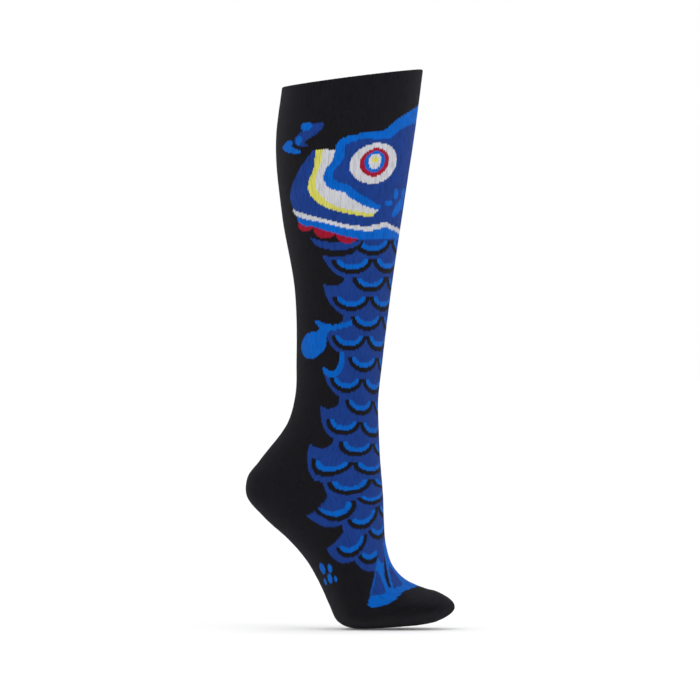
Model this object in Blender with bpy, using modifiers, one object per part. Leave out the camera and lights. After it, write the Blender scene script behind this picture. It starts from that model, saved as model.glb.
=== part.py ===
"""Knee-high patterned sock in the shape it takes when worn, in metres, +Z up.

The origin is the middle of the leg opening. The toe points to +X and the sock is the same on
both sides of the XZ plane. Every knitted piece is a patch of one skin: a row of flat sections
across the leg and the foot, each given by the point where it meets the front line and the back
line. A place on the skin is (down, turn): down is the distance along the sock from the opening,
turn is the angle round it, 0 along the shin and instep and 180 degrees along the calf and sole.
"""
import math

import bpy
import bmesh
import numpy as np

# Driving dimensions, in metres.
LEG_LENGTH = 0.302          # leg opening to the narrowest place of the ankle
OPENING_DEPTH = 0.1335      # front to back at the leg opening
OPENING_WIDTH = 0.113       # side to side at the leg opening
CALF_DEPTH = 0.1325         # front to back at the fullest place of the calf
CALF_WIDTH = 0.111
LOWER_CALF_DEPTH = 0.1145
LOWER_CALF_WIDTH = 0.096
SHIN_DEPTH = 0.0905         # two thirds of the way down to the ankle
SHIN_WIDTH = 0.074
LOWER_SHIN_DEPTH = 0.0806   # just above the ankle
LOWER_SHIN_WIDTH = 0.064
ANKLE_DEPTH = 0.0783
ANKLE_WIDTH = 0.060
FOOT_LENGTH = 0.225         # back of the heel to the tip of the toe, in a straight line
HEEL_WIDTH = 0.066
INSTEP_WIDTH = 0.074
BALL_WIDTH = 0.088
TOE_WIDTH = 0.080
FABRIC = 0.0012             # thickness of the leg and foot fabric
HEEL_FABRIC = 0.0014        # the heel and the toe are knitted with a second yarn
WELT_FABRIC = 0.0010        # each layer of the folded welt
WELT_DEPTH = 0.031          # height of the welt
FLOAT_LAYER = 0.0006        # thickness of the pattern yarns carried behind the fabric
ELASTIC_DIAMETER = 0.0005
ELASTIC_TURNS = 3
SEAM_DIAMETER = 0.0016
HEEL_RISE = 0.027           # how far the heel pocket reaches up the Achilles tendon
HEEL_REACH = 0.036          # how far it reaches under the sole
TOE_LENGTH = 0.046          # linking seam to the tip of the toe, along the middle of the toe
FLOAT_TOP = 0.035           # where the carried yarns start and end, below the opening
FLOAT_END = 0.290
FLOAT_TURN = math.radians(120)
GAP = 0.0003                # clear space between neighbouring pieces
EDGE_LEAN = 0.12            # a wall's edge leans outwards by up to this share of its thickness

SEGMENTS = 36               # facets round the sock
ROW = 0.020                 # spacing of the rows of facets
TOE_ROW = 0.007             # closer on the toe, which bends more
EDGE_ROW = 0.001            # the row along an edge

# Leg sections: share of the leg length, middle X, depth, width, tilt in degrees (front up), and
# how much fuller the front is than the back.
LEG_SECTIONS = (
    (0.00, 0.0000, OPENING_DEPTH, OPENING_WIDTH, 7.0, -0.06),
    (0.16, -0.0060, CALF_DEPTH, CALF_WIDTH, 6.0, -0.10),
    (0.41, -0.0092, LOWER_CALF_DEPTH, LOWER_CALF_WIDTH, 3.5, -0.10),
    (0.66, -0.0089, SHIN_DEPTH, SHIN_WIDTH, 0.5, -0.05),
    (0.88, -0.0124, LOWER_SHIN_DEPTH, LOWER_SHIN_WIDTH, -2.5, 0.0),
    (1.00, -0.0150, ANKLE_DEPTH, ANKLE_WIDTH, -4.0, 0.04),
)

# Foot sections from the ankle down, for a foot 225 mm long, in millimetres from the middle of the
# ankle: front line X and Z, back line X and Z, then width in metres, fuller front and flat sole.
PATTERN_LENGTH = 0.225
FOOT_SECTIONS = (
    (39.7, -29.2, -45.7, -20.8, ANKLE_WIDTH * 1.02, 0.06, 0.0),
    (41.3, -60.3, -73.0, -57.9, HEEL_WIDTH * 0.97, 0.10, 0.0),
    (42.1, -69.7, -83.8, -73.0, HEEL_WIDTH * 0.99, 0.12, 0.0),
    (42.8, -77.2, -84.7, -89.5, HEEL_WIDTH, 0.12, 0.0),
    (43.3, -84.8, -68.3, -110.2, HEEL_WIDTH, 0.08, 0.0),
    (43.9, -93.2, -46.6, -129.9, HEEL_WIDTH * 1.02, 0.03, 0.0),
    (44.6, -114.9, -27.8, -151.6, INSTEP_WIDTH * 0.96, -0.03, 0.05),
    (46.5, -136.5, -15.1, -174.1, INSTEP_WIDTH * 1.04, -0.06, 0.10),
    (52.5, -155.3, -7.1, -192.0, BALL_WIDTH * 0.94, -0.08, 0.15),
    (64.4, -168.5, 0.9, -208.0, BALL_WIDTH, -0.08, 0.20),
    (82.3, -176.8, 16.4, -214.8, BALL_WIDTH, -0.06, 0.25),
    (92.6, -179.5, 39.0, -214.6, BALL_WIDTH * 0.95, -0.05, 0.25),
    (99.7, -182.8, 61.6, -213.2, TOE_WIDTH * 0.95, -0.04, 0.20),
    (102.2, -184.2, 79.0, -211.6, TOE_WIDTH * 0.85, 0.0, 0.10),
    (104.0, -185.3, 92.0, -209.2, TOE_WIDTH * 0.72, 0.0, 0.0),
)
TOE_TIP = (110.4, -197.4)


def smooth(knots, values, at):
    """Value at a place on the smooth curve through the values given at the knots."""
    knots = np.asarray(knots, float)
    values = np.asarray(values, float)
    slopes = np.gradient(values, knots, axis=0)
    i = int(np.clip(np.searchsorted(knots, at) - 1, 0, len(knots) - 2))
    span = knots[i + 1] - knots[i]
    t = (at - knots[i]) / span
    return ((1 + 2 * t) * (1 - t) ** 2 * values[i] + t * (1 - t) ** 2 * span * slopes[i]
            + t * t * (3 - 2 * t) * values[i + 1] + t * t * (t - 1) * span * slopes[i + 1])


def section_rows():
    """Every section as front X and Z, back X and Z, width, fuller front, flat sole."""
    rows = []
    for share, middle, depth, width, tilt, full in LEG_SECTIONS:
        reach_x = depth / 2 * math.cos(math.radians(tilt))
        reach_z = depth / 2 * math.sin(math.radians(tilt))
        height = -share * LEG_LENGTH
        rows.append((middle + reach_x, height + reach_z, middle - reach_x, height - reach_z,
                     width, full, 0.0))
    scale = FOOT_LENGTH / PATTERN_LENGTH / 1000
    ankle_x, ankle_z = LEG_SECTIONS[-1][1], -LEG_LENGTH
    for front_x, front_z, back_x, back_z, width, full, flat in FOOT_SECTIONS:
        rows.append((ankle_x + front_x * scale, ankle_z + front_z * scale,
                     ankle_x + back_x * scale, ankle_z + back_z * scale, width, full, flat))
    tip = np.array((ankle_x + TOE_TIP[0] * scale, ankle_z + TOE_TIP[1] * scale))
    return np.array(rows), tip


SECTIONS, TIP = section_rows()
STEPS = (np.hypot(*np.diff(SECTIONS[:, 0:2], axis=0).T) + np.hypot(*np.diff(SECTIONS[:, 2:4], axis=0).T)) / 2
DOWN = np.concatenate(([0.0], np.cumsum(STEPS)))
LAST_MIDDLE = (SECTIONS[-1, 0:2] + SECTIONS[-1, 2:4]) / 2
CAP = float(np.hypot(*(TIP - LAST_MIDDLE))) * 1.5
LENGTH = DOWN[-1] + CAP     # distance along the sock from the opening to the tip of the toe


def surface(down, turn):
    """The point of the outer face at a place on the skin."""
    row = smooth(DOWN, SECTIONS, min(down, DOWN[-1]))
    middle = (row[0:2] + row[2:4]) / 2
    reach = (row[0:2] - row[2:4]) / 2
    half_width, full, flat = row[4] / 2, row[5], row[6]
    if down > DOWN[-1]:
        # The nose of the toe is a parabola that narrows to the tip.
        left = 1 - (down - DOWN[-1]) / CAP
        middle = middle + (TIP - middle) * (1 - left * left)
        reach = reach * left
        half_width *= left
    fore = math.cos(turn)
    if fore < 0:
        along = fore * (1 + flat * (1 - fore * fore))
    else:
        along = fore
    side = math.sin(turn) * (1 + full * fore)
    return np.array((middle[0] + along * reach[0], half_width * side, middle[1] + along * reach[1]))


def skin(down, turn, inward=0.0):
    """The point at a depth below the outer face, measured along the inward normal."""
    point = surface(down, turn)
    if not inward:
        return point
    small = 0.0004
    along = surface(min(down + small, LENGTH - small), turn) - surface(down - small, turn)
    around = surface(down, turn + 0.004) - surface(down, turn - 0.004)
    normal = np.cross(around, along)
    return point + normal / np.linalg.norm(normal) * inward


def half_gap(edge, turn):
    """Change of down that keeps a piece's edge half a gap short of the line down = edge(turn)."""
    small = 0.0004
    here = edge(turn)
    downward = (surface(here + small, turn) - surface(here - small, turn)) / (2 * small)
    along = surface(edge(turn + 0.02), turn + 0.02) - surface(edge(turn - 0.02), turn - 0.02)
    across = np.linalg.norm(np.cross(downward, along)) / np.linalg.norm(along)
    room = GAP / 2 + EDGE_LEAN * max(FABRIC, HEEL_FABRIC)
    return room / float(across)


# The course where leg and foot meet in front of the heel pocket, and the toe's linking seam.
HEEL_COURSE = float(DOWN[len(LEG_SECTIONS) + 3])
TOE_COURSE = LENGTH - TOE_LENGTH
POCKET = ELASTIC_DIAMETER + 2 * GAP
HEEL_CORNER = math.radians(3)   # the heel pocket stops this far short of the corners it ends in
HEEL_SPREAD = math.radians(50)  # how far past the side it reaches its full height


def heel_open(turn):
    """0 in front of the sides, rising to 1 across the back of the heel."""
    past = abs(math.atan2(math.sin(turn), math.cos(turn))) - math.pi / 2
    return math.sin(min(max(past / HEEL_SPREAD, 0.0), 1.0) * math.pi / 2)


def heel_top(turn):
    return HEEL_COURSE - HEEL_RISE * heel_open(turn)


def heel_bottom(turn):
    return HEEL_COURSE + HEEL_REACH * heel_open(turn)


def toe_line(turn):
    return TOE_COURSE


def rows_between(start, end, spacing=ROW):
    """Evenly spaced rows with a narrow one at each end, so that the edges stand square."""
    inner_start, inner_end = start + EDGE_ROW, end - EDGE_ROW
    count = max(2, round((inner_end - inner_start) / spacing))
    inner = [inner_start + (inner_end - inner_start) * i / count for i in range(count + 1)]
    return [start] + inner + [end]


def turns_around(start=0.0, end=2 * math.pi):
    """Turns of the facet edges between two angles; a full circle leaves out the last."""
    full = abs(end - start - 2 * math.pi) < 1e-9
    count = SEGMENTS if full else max(2, round((end - start) / (2 * math.pi) * SEGMENTS))
    return [start + (end - start) * i / count for i in range(count if full else count + 1)]


def fabric_colour(name, colour, roughness):
    material = bpy.data.materials.new(name)
    material.use_nodes = True
    shader = material.node_tree.nodes["Principled BSDF"]
    shader.inputs["Base Color"].default_value = (*colour, 1.0)
    shader.inputs["Roughness"].default_value = roughness
    shader.inputs["Metallic"].default_value = 0.0
    return material


def knitted(name, grid, thickness, material, offset=-1.0, tip=None):
    """A sheet of fabric from rows of points, closed round when a row is a full circle."""
    mesh = bpy.data.meshes.new(name)
    bm = bmesh.new()
    rows = [[bm.verts.new(point) for point in row] for row in grid]
    closed = len(rows[0]) == SEGMENTS
    columns = len(rows[0])
    for upper, lower in zip(rows, rows[1:]):
        for i in range(columns if closed else columns - 1):
            j = (i + 1) % columns
            bm.faces.new((upper[i], lower[i], lower[j], upper[j]))
    if tip is not None:
        pole = bm.verts.new(tip)
        for i in range(columns):
            bm.faces.new((rows[-1][i], pole, rows[-1][(i + 1) % columns]))
    bm.to_mesh(mesh)
    bm.free()
    mesh.shade_smooth()
    mesh.materials.append(material)
    piece = bpy.data.objects.new(name, mesh)
    PARTS.objects.link(piece)
    wall = piece.modifiers.new("Fabric thickness", "SOLIDIFY")
    wall.thickness = thickness
    wall.offset = offset
    return piece


def yarn(name, points, diameter, material):
    """A yarn laid along a list of points."""
    curve = bpy.data.curves.new(name, "CURVE")
    curve.dimensions = "3D"
    curve.bevel_depth = diameter / 2
    curve.bevel_resolution = 2
    curve.use_fill_caps = True
    line = curve.splines.new("POLY")
    line.points.add(len(points) - 1)
    for slot, point in zip(line.points, points):
        slot.co = (*point, 1.0)
    curve.materials.append(material)
    piece = bpy.data.objects.new(name, curve)
    PARTS.objects.link(piece)
    return piece


def make_welt():
    """Folded cuff: an outer layer, the fold along the top edge, and an inner layer."""
    bottom = WELT_DEPTH - GAP / 2
    half_fold = (WELT_FABRIC + POCKET) / 2
    straight = rows_between(half_fold, bottom)
    profile = [(down, WELT_FABRIC / 2) for down in reversed(straight)]
    for i in range(1, 4):
        bend = math.pi * i / 4
        profile.append((half_fold * (1 - math.sin(bend)),
                        WELT_FABRIC / 2 + half_fold * (1 - math.cos(bend))))
    profile += [(down, WELT_FABRIC / 2 + 2 * half_fold) for down in straight]
    grid = [[skin(down, turn, inward) for turn in turns_around()] for down, inward in reversed(profile)]
    knitted("turned_welt", grid, WELT_FABRIC, fabric_colour("black welt rib", (0.012, 0.012, 0.013), 0.9), 0.0)


def make_elastic():
    """Covered elastic yarn laid in rounds inside the fold of the welt."""
    inward = WELT_FABRIC + POCKET / 2
    first = 0.006
    last = WELT_DEPTH - 0.006
    steps = ELASTIC_TURNS * SEGMENTS
    points = [skin(first + (last - first) * i / steps, 2 * math.pi * i / SEGMENTS, inward)
              for i in range(steps + 1)]
    yarn("welt_elastic", points, ELASTIC_DIAMETER, fabric_colour("covered elastic", (0.05, 0.05, 0.05), 0.7))


def make_leg():
    """Leg tube, from the welt to the ankle, ending along the top of the heel pocket."""
    start = WELT_DEPTH + GAP / 2
    bend_start = HEEL_COURSE - 2 * HEEL_RISE
    grid = []
    for down in rows_between(start, HEEL_COURSE):
        follow = min(max((down - bend_start) / (HEEL_COURSE - bend_start), 0.0), 1.0)
        row = []
        for turn in turns_around():
            edge = heel_top(turn) - HEEL_COURSE - half_gap(heel_top, turn)
            row.append(skin(down + edge * follow, turn))
        grid.append(row)
    knitted("leg_tube", grid, FABRIC, fabric_colour("black leg knit", (0.012, 0.012, 0.013), 0.9))


def make_floats():
    """Pattern yarns carried across the inside of the leg, behind the knitted picture."""
    grid = [[skin(down, turn, FABRIC + GAP) for turn in turns_around(-FLOAT_TURN, FLOAT_TURN)]
            for down in rows_between(FLOAT_TOP, FLOAT_END)]
    knitted("float_yarns", grid, FLOAT_LAYER, fabric_colour("blue float yarns", (0.011, 0.045, 0.262), 0.85))


def make_heel():
    """Heel pocket: the back half of the sock between the leg and the foot."""
    grid = []
    shares = [(1 - math.cos(math.pi * i / 9)) / 2 for i in range(10)]
    first, last = math.pi / 2 + HEEL_CORNER, 1.5 * math.pi - HEEL_CORNER
    turns = [first] + [turn for turn in turns_around() if first < turn < last] + [last]
    for share in shares:
        row = []
        for turn in turns:
            top = heel_top(turn) + half_gap(heel_top, turn)
            bottom = heel_bottom(turn) - half_gap(heel_bottom, turn)
            row.append(skin(top + (bottom - top) * share, turn))
        grid.append(row)
    knitted("heel_pocket", grid, HEEL_FABRIC, fabric_colour("black heel knit", (0.011, 0.011, 0.012), 0.92))


def make_foot():
    """Foot tube, from under the heel pocket to the toe's linking seam."""
    grid = []
    for down in rows_between(HEEL_COURSE, TOE_COURSE):
        follow = (TOE_COURSE - down) / (TOE_COURSE - HEEL_COURSE)
        row = []
        for turn in turns_around():
            heel_edge = heel_bottom(turn) - HEEL_COURSE + half_gap(heel_bottom, turn)
            toe_edge = half_gap(toe_line, turn)
            row.append(skin(down + heel_edge * follow - toe_edge * (1 - follow), turn))
        grid.append(row)
    knitted("foot_tube", grid, FABRIC, fabric_colour("black foot knit", (0.012, 0.012, 0.013), 0.9))


def make_toe():
    """Toe pocket, closed at the tip."""
    grid = []
    for down in rows_between(TOE_COURSE, LENGTH, TOE_ROW)[:-1]:
        follow = (LENGTH - down) / (LENGTH - TOE_COURSE)
        grid.append([skin(down + half_gap(toe_line, turn) * follow, turn) for turn in turns_around()])
    tip = surface(LENGTH, 0.0)
    knitted("toe_pocket", grid, HEEL_FABRIC, fabric_colour("black toe knit", (0.011, 0.011, 0.012), 0.92), tip=tip)


def make_seam():
    """Linking seam: the ridge inside the sock where the toe is closed across the top."""
    inward = HEEL_FABRIC + GAP + SEAM_DIAMETER / 2
    turns = turns_around(-math.pi / 2, math.pi / 2)
    points = [skin(TOE_COURSE, turn, inward) for turn in turns]
    yarn("toe_seam", points, SEAM_DIAMETER, fabric_colour("black seam yarn", (0.01, 0.01, 0.01), 0.8))


for old in list(bpy.data.objects):
    bpy.data.objects.remove(old, do_unlink=True)
PARTS = bpy.data.collections.new("knee_high_sock")
bpy.context.scene.collection.children.link(PARTS)

make_welt()
make_elastic()
make_leg()
make_floats()
make_heel()
make_foot()
make_toe()
make_seam()
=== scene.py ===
"""Knee-high jacquard sock, dressed over its CAD frame.

Every knitted piece is made stitch by stitch on the skin that the CAD pieces share. A place on the
skin is (down, turn): down is the distance along the sock from the leg opening, turn is the angle
round it, 0 along the shin and instep. The knitting is counted in needles round the sock and
courses along it, and the picture is drawn in those units.
"""
import math
from functools import partial

import bpy
import numpy as np
from bpy.props import FloatProperty, FloatVectorProperty, IntProperty, PointerProperty
from bpy.types import Operator, Panel, PropertyGroup
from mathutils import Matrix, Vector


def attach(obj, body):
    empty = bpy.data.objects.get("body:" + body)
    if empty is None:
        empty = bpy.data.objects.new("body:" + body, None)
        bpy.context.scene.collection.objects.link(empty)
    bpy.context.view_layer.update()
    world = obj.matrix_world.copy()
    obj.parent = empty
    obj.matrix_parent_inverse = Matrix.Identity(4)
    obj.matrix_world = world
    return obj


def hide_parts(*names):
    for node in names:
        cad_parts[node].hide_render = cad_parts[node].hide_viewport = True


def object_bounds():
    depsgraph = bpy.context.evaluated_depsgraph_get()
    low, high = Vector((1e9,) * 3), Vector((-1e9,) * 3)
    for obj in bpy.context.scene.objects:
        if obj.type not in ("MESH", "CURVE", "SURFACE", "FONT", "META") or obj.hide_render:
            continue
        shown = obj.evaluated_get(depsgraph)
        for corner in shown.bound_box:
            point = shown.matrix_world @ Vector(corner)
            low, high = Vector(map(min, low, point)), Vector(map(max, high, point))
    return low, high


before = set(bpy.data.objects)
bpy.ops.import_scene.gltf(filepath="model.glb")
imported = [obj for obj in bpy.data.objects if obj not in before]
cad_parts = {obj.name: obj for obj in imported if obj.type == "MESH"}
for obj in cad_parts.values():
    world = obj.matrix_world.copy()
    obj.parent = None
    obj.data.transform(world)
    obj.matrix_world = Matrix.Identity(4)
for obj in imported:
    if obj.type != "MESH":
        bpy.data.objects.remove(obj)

bl_info = {
    "name": "Knee-high Sock",
    "version": (1, 0, 0),
    "blender": (4, 5, 0),
    "location": "3D View > Sidebar > Sock",
    "description": "Knits a knee-high sock with a carp streamer over its CAD frame",
    "category": "Add Mesh",
}

CAD_LOW, CAD_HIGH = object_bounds()

# ---------- the skin of the sock

# Size of the sock that the tables below describe. The skin is scaled from it to the CAD box.
TABLE_SIZE = (0.1957, 0.1129, 0.5261)
LEG_LENGTH = 0.302
WELT_DEPTH = 0.031
TOE_LENGTH = 0.046
HEEL_RISE = 0.027           # how far the heel pocket reaches up the tendon
HEEL_REACH = 0.036          # how far it reaches under the sole
HEEL_SPREAD = math.radians(50)
HEEL_CORNER_OPEN = 0.006    # share of the rise and reach that is left at the corners of the pocket

# Leg: share of the leg length, middle X, depth, width, tilt in degrees, fuller front.
LEG_SECTIONS = (
    (0.00, 0.0000, 0.1335, 0.113, 7.0, -0.06),
    (0.16, -0.0060, 0.1325, 0.111, 6.0, -0.10),
    (0.41, -0.0092, 0.1145, 0.096, 3.5, -0.10),
    (0.66, -0.0089, 0.0905, 0.074, 0.5, -0.05),
    (0.88, -0.0124, 0.0806, 0.064, -2.5, 0.0),
    (1.00, -0.0150, 0.0783, 0.060, -4.0, 0.04),
)
# Foot: front line X and Z, back line X and Z in millimetres from the middle of the ankle, width,
# fuller front, flat sole.
FOOT_SECTIONS = (
    (39.7, -29.2, -45.7, -20.8, 0.0612, 0.06, 0.0),
    (41.3, -60.3, -73.0, -57.9, 0.0640, 0.10, 0.0),
    (42.1, -69.7, -83.8, -73.0, 0.0653, 0.12, 0.0),
    (42.8, -77.2, -84.7, -89.5, 0.0660, 0.12, 0.0),
    (43.3, -84.8, -68.3, -110.2, 0.0660, 0.08, 0.0),
    (43.9, -93.2, -46.6, -129.9, 0.0673, 0.03, 0.0),
    (44.6, -114.9, -27.8, -151.6, 0.0710, -0.03, 0.05),
    (46.5, -136.5, -15.1, -174.1, 0.0770, -0.06, 0.10),
    (52.5, -155.3, -7.1, -192.0, 0.0827, -0.08, 0.15),
    (64.4, -168.5, 0.9, -208.0, 0.0880, -0.08, 0.20),
    (82.3, -176.8, 16.4, -214.8, 0.0880, -0.06, 0.25),
    (92.6, -179.5, 39.0, -214.6, 0.0836, -0.05, 0.25),
    (99.7, -182.8, 61.6, -213.2, 0.0760, -0.04, 0.20),
    (102.2, -184.2, 79.0, -211.6, 0.0680, 0.0, 0.10),
    (104.0, -185.3, 92.0, -209.2, 0.0576, 0.0, 0.0),
)
TOE_TIP = (110.4, -197.4)
NOSE_STRETCH = 1.5          # cloth over the nose of the toe, for its length in a straight line


def section_rows():
    """Every section as front X and Z, back X and Z, width, fuller front, flat sole."""
    rows = []
    for share, middle, depth, width, tilt, full in LEG_SECTIONS:
        reach_x = depth / 2 * math.cos(math.radians(tilt))
        reach_z = depth / 2 * math.sin(math.radians(tilt))
        height = -share * LEG_LENGTH
        rows.append((middle + reach_x, height + reach_z, middle - reach_x, height - reach_z,
                     width, full, 0.0))
    ankle_x, ankle_z = LEG_SECTIONS[-1][1], -LEG_LENGTH
    for front_x, front_z, back_x, back_z, width, full, flat in FOOT_SECTIONS:
        rows.append((ankle_x + front_x / 1000, ankle_z + front_z / 1000,
                     ankle_x + back_x / 1000, ankle_z + back_z / 1000, width, full, flat))
    return np.array(rows), np.array((ankle_x + TOE_TIP[0] / 1000, ankle_z + TOE_TIP[1] / 1000))


SECTIONS, TIP = section_rows()
FRONT_STEPS = np.hypot(*np.diff(SECTIONS[:, 0:2], axis=0).T)
BACK_STEPS = np.hypot(*np.diff(SECTIONS[:, 2:4], axis=0).T)
DOWN = np.concatenate(([0.0], np.cumsum((FRONT_STEPS + BACK_STEPS) / 2)))
SLOPES = np.gradient(SECTIONS, DOWN, axis=0)
CAP = float(np.hypot(*(TIP - (SECTIONS[-1, 0:2] + SECTIONS[-1, 2:4]) / 2))) * NOSE_STRETCH
LENGTH = float(DOWN[-1] + CAP)
HEEL_COURSE = float(DOWN[len(LEG_SECTIONS) + 3])       # through the point of the heel
TOE_COURSE = LENGTH - TOE_LENGTH
CAD_FIT = np.array([(high - low) / size for low, high, size in zip(CAD_LOW, CAD_HIGH, TABLE_SIZE)])


def sections(down):
    """Sections on the smooth curves through the tables."""
    down = np.minimum(down, DOWN[-1])
    i = np.clip(np.searchsorted(DOWN, down) - 1, 0, len(DOWN) - 2)
    span = (DOWN[i + 1] - DOWN[i])[..., None]
    t = (down - DOWN[i])[..., None] / span
    return ((1 + 2 * t) * (1 - t) ** 2 * SECTIONS[i] + t * (1 - t) ** 2 * span * SLOPES[i]
            + t * t * (3 - 2 * t) * SECTIONS[i + 1] + t * t * (t - 1) * span * SLOPES[i + 1])


def surface(down, turn):
    """Points of the outer face at places on the skin."""
    down, turn = np.broadcast_arrays(np.asarray(down, float), np.asarray(turn, float))
    row = sections(down)
    middle = (row[..., 0:2] + row[..., 2:4]) / 2
    reach = (row[..., 0:2] - row[..., 2:4]) / 2
    # The nose of the toe is a parabola that narrows to the tip.
    left = 1 - np.clip((down - DOWN[-1]) / CAP, 0, 1)
    middle = middle + (TIP - middle) * (1 - left * left)[..., None]
    reach = reach * left[..., None]
    half_width = row[..., 4] / 2 * left
    fore = np.cos(turn)
    along = np.where(fore < 0, fore * (1 + row[..., 6] * (1 - fore * fore)), fore)
    side = np.sin(turn) * (1 + row[..., 5] * fore)
    points = np.stack((middle[..., 0] + along * reach[..., 0], half_width * side,
                       middle[..., 1] + along * reach[..., 1]), axis=-1)
    return points * CAD_FIT


def skin(down, turn, inward):
    """Points at a depth below the outer face, measured along the inward normal."""
    step, swing = 0.0004, 0.004
    along = surface(np.minimum(down + step, LENGTH - step), turn) - surface(down - step, turn)
    around = surface(down, turn + swing) - surface(down, turn - swing)
    normal = np.cross(around, along)
    normal /= np.linalg.norm(normal, axis=-1, keepdims=True)
    return surface(down, turn) + normal * np.asarray(inward, float)[..., None]


def heel_open(turn):
    """0 in front of the sides, rising to 1 across the back of the heel."""
    past = np.abs(np.arctan2(np.sin(turn), np.cos(turn))) - math.pi / 2
    return np.sin(np.clip(past / HEEL_SPREAD, 0, 1) * math.pi / 2)


# ---------- needles and courses

FINE_DOWN = np.linspace(0.0, LENGTH, 1400)
HALF_TURN = np.linspace(0.0, math.pi, 181)
FRONT_SHARE = 0.75          # the instep side sets the course spacing, the sole side is gathered


def course_table(course_height):
    """Course number at every place of FINE_DOWN, counted from the lower edge of the welt."""
    front = np.linalg.norm(np.diff(surface(FINE_DOWN, 0.0), axis=0), axis=1)
    back = np.linalg.norm(np.diff(surface(FINE_DOWN, math.pi), axis=0), axis=1)
    steps = FRONT_SHARE * front + (1 - FRONT_SHARE) * back
    courses = np.concatenate(([0.0], np.cumsum(steps))) / course_height
    return courses - np.interp(WELT_DEPTH, FINE_DOWN, courses)


def needle_turns(down, places, needles):
    """Turn of each needle place, in rows, so that the needles are evenly spaced round a row."""
    half = needles / 2
    points = surface(np.asarray(down)[:, None], HALF_TURN[None, :])
    steps = np.linalg.norm(np.diff(points, axis=1), axis=2)
    rows = []
    for row in steps:
        arc = np.concatenate(([0.0], np.cumsum(row)))
        share = arc / max(arc[-1], 1e-9) * half
        near = np.minimum(places, needles - places)
        turn = np.interp(near, share, HALF_TURN)
        rows.append(np.where(places > half, 2 * math.pi - turn, turn))
    return np.array(rows)


# ---------- the knitted picture

BLACK, ROYAL, AZURE, WHITE, YELLOW, RED = range(6)
PICTURE_NEEDLES = 168       # needles round the sock that the picture is drawn for
FIRST_SCALE = 91.0          # course of the lowest stitch of the first row of scales
SCALE_ROWS = 17
FOOT_ROW = 13               # first row of scales whose scallops sweep back over the foot
SCALE_PITCH = 12.13         # courses from one row of scales to the next
SCALE_WIDTH = 24            # needles from one scale to the next in a row
RING_DEPTH = 9.3            # courses from the middle of a scale to its lowest stitch
BAND = 2.9                  # thickness of the dark line round a scale, in stitches
LIGHT_BAND = 2.8            # thickness of the light line inside it


def curve(points, steps=6):
    """A closed smooth outline through the points. A third value in a point makes it a corner."""
    points = np.array([point[:2] for point in points for _ in point[1:]], float)
    out = []
    for i in range(len(points)):
        a, b, c, d = (points[(i + k) % len(points)] for k in (-1, 0, 1, 2))
        if np.allclose(b, c):
            continue
        for t in np.arange(steps) / steps:
            out.append(0.5 * (2 * b + (c - a) * t + (2 * a - 5 * b + 4 * c - d) * t * t
                              + (3 * b - a - 3 * c + d) * t ** 3))
    return np.array(out)


def inside(outline, x, y):
    """Which places are inside an outline, by counting crossings."""
    found = np.zeros(x.shape, bool)
    for (ax, ay), (bx, by) in zip(outline, np.roll(outline, -1, axis=0)):
        if ay == by:
            continue
        crosses = (ay > y) != (by > y)
        found ^= crosses & (x < (bx - ax) * (y - ay) / (by - ay) + ax)
    return found


def oval(x, y, centre_x, centre_y, half_x, half_y):
    return ((x - centre_x) / half_x) ** 2 + ((y - centre_y) / half_y) ** 2 < 1


def scale_course(row):
    """Lowest course of a row of scales. The rows open out over the ankle."""
    return FIRST_SCALE + SCALE_PITCH * row - 2.7 * math.sin(math.pi * row / 8)


def knit_scales(picture, x, y):
    """Rows of overlapping scales down the body: the side scallops, then a ringed scale each."""
    last = SCALE_ROWS - 1
    body_half = np.interp(y, (160, 205, 235, 255, 262), (41, 40, 37.5, 40, 41.5))
    picture[(x < body_half) & (y > 76) & (y < scale_course(last) - 8)] = ROYAL
    for row in range(1, SCALE_ROWS, 2):
        low = scale_course(row)
        if row < FOOT_ROW:
            # On the leg the scallops point up, with a round gap above each.
            lower = (y > low - 18) & oval(x, y, 36, low - 18, 17.5, 21)
            upper = (y > low - 22) & (y <= low - 18) & (x < 52)
            scallop = (lower | upper) & ~oval(x, y, 48, low - 22, 8, 6.4)
        else:
            # On the foot they sweep back to a sharp point.
            tip = low - (7 if row == FOOT_ROW else 10.6)
            lower = (y > tip) & oval(x, y, 38, tip, 18, low + 3.2 - tip)
            upper = (y <= tip) & (y > tip - 1.1 * ((56 - x) / 7.5) ** 2) & (x > 34) & (x < 56)
            scallop = lower | upper
        picture[scallop] = ROYAL
    low = scale_course(last)
    picture[(y > low - 10) & oval(x, y, SCALE_WIDTH, low - 9, 15, 13.3)] = ROYAL
    for row in range(SCALE_ROWS):
        low = scale_course(row)
        for middle in SCALE_WIDTH * (np.arange(2) + 0.5 * (row % 2)):
            level = low - RING_DEPTH
            if row >= FOOT_ROW and middle > SCALE_WIDTH:
                middle, level = middle + 1.5, level + 0.8
            ring, field, centre = (
                oval(x, y, middle, level, SCALE_WIDTH / 2 + 0.2 - inset, RING_DEPTH - inset)
                for inset in (0, BAND, BAND + LIGHT_BAND))
            picture[(y > level) & ring & ~field] = BLACK
            picture[(y > level + 0.5) & field & ~centre] = AZURE


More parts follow.
